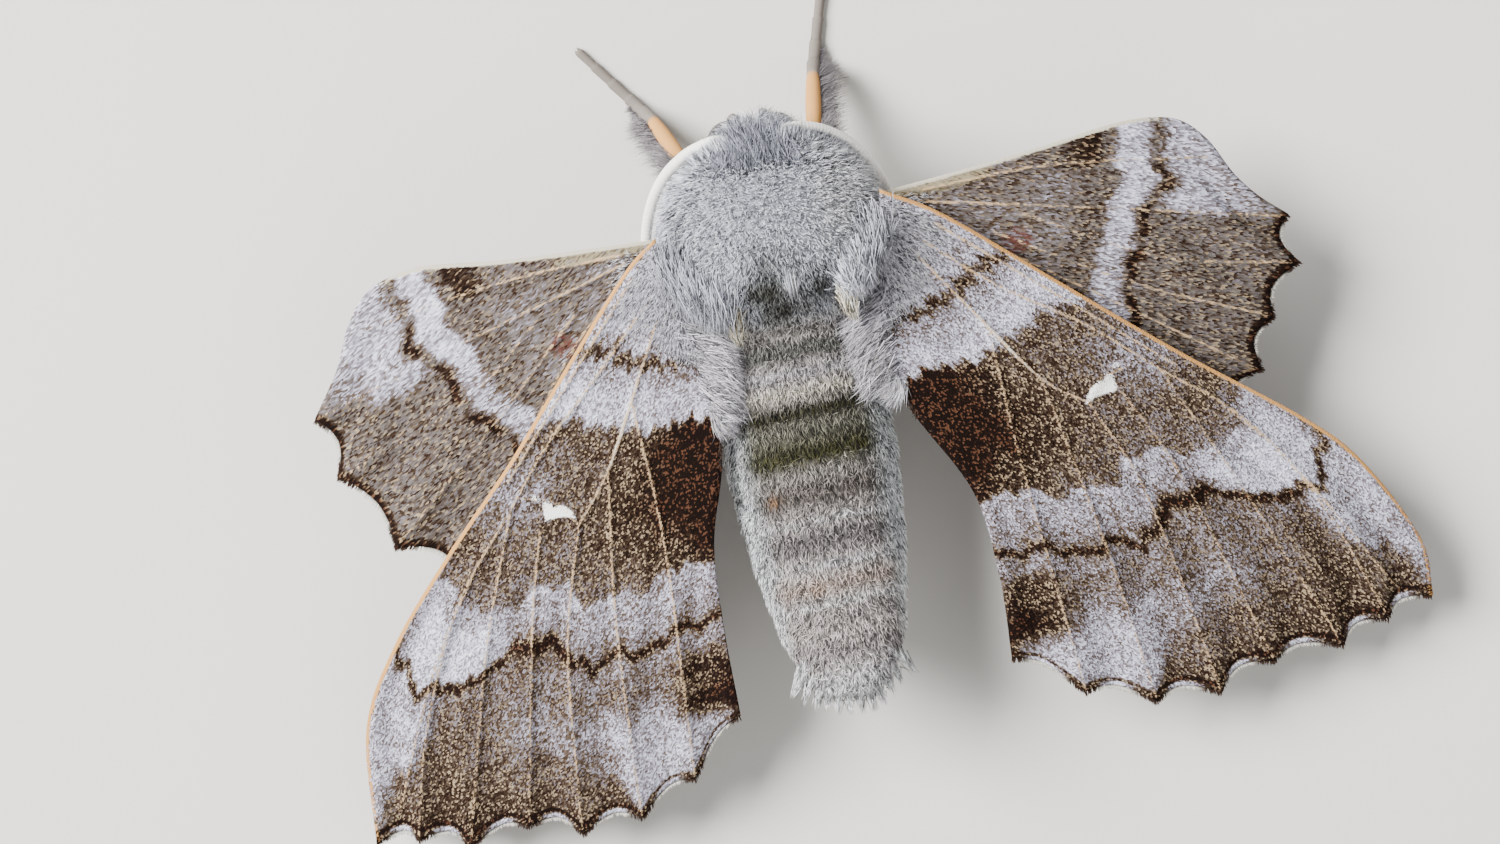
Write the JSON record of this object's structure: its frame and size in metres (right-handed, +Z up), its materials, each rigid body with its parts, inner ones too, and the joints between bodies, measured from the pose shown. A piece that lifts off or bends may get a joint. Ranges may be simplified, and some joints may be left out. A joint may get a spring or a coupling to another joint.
{
  "type": "poplar hawk moth",
  "caption": "Resting poplar hawk moth with scalloped forewings spread back, hindwings pushed out ahead of them, furred body and swept feelers.",
  "frame": {"origin": "centre of the underside of the whole moth's box, on the floor that its feet stand on", "axes": "+X towards the moth's right wing, +Y towards its head, +Z up off its back"},
  "size_m": [0.062, 0.0462, 0.0153],
  "materials": {
    "body_fur": "dense grey and cream fur",
    "forewing_scales": "matt scales in lilac grey and brown bands",
    "hindwing_scales": "matt scales in grey and brown bands",
    "antenna_scales": "white scaled shaft",
    "leg_scales": "orange-buff scales",
    "eye_lens": "dark glossy compound eye"
  },
  "bodies": {
    "root": {"abdomen": "body_fur", "antenna_left": "antenna_scales", "antenna_right": "antenna_scales", "eye_left": "eye_lens", "eye_right": "eye_lens", "foreleg_left_femur": "leg_scales", "foreleg_left_tarsus": "leg_scales", "foreleg_left_tibia": "leg_scales", "foreleg_right_femur": "leg_scales", "foreleg_right_tarsus": "leg_scales", "foreleg_right_tibia": "leg_scales", "forewing_left": "forewing_scales", "forewing_right": "forewing_scales", "head": "body_fur", "hindleg_left_femur": "leg_scales", "hindleg_left_tarsus": "leg_scales", "hindleg_left_tibia": "leg_scales", "hindleg_right_femur": "leg_scales", "hindleg_right_tarsus": "leg_scales", "hindleg_right_tibia": "leg_scales", "hindwing_left": "hindwing_scales", "hindwing_right": "hindwing_scales", "midleg_left_femur": "leg_scales", "midleg_left_tarsus": "leg_scales", "midleg_left_tibia": "leg_scales", "midleg_right_femur": "leg_scales", "midleg_right_tarsus": "leg_scales", "midleg_right_tibia": "leg_scales", "palp_left": "body_fur", "palp_right": "body_fur", "thorax": "body_fur"}
  },
  "joints": []
}
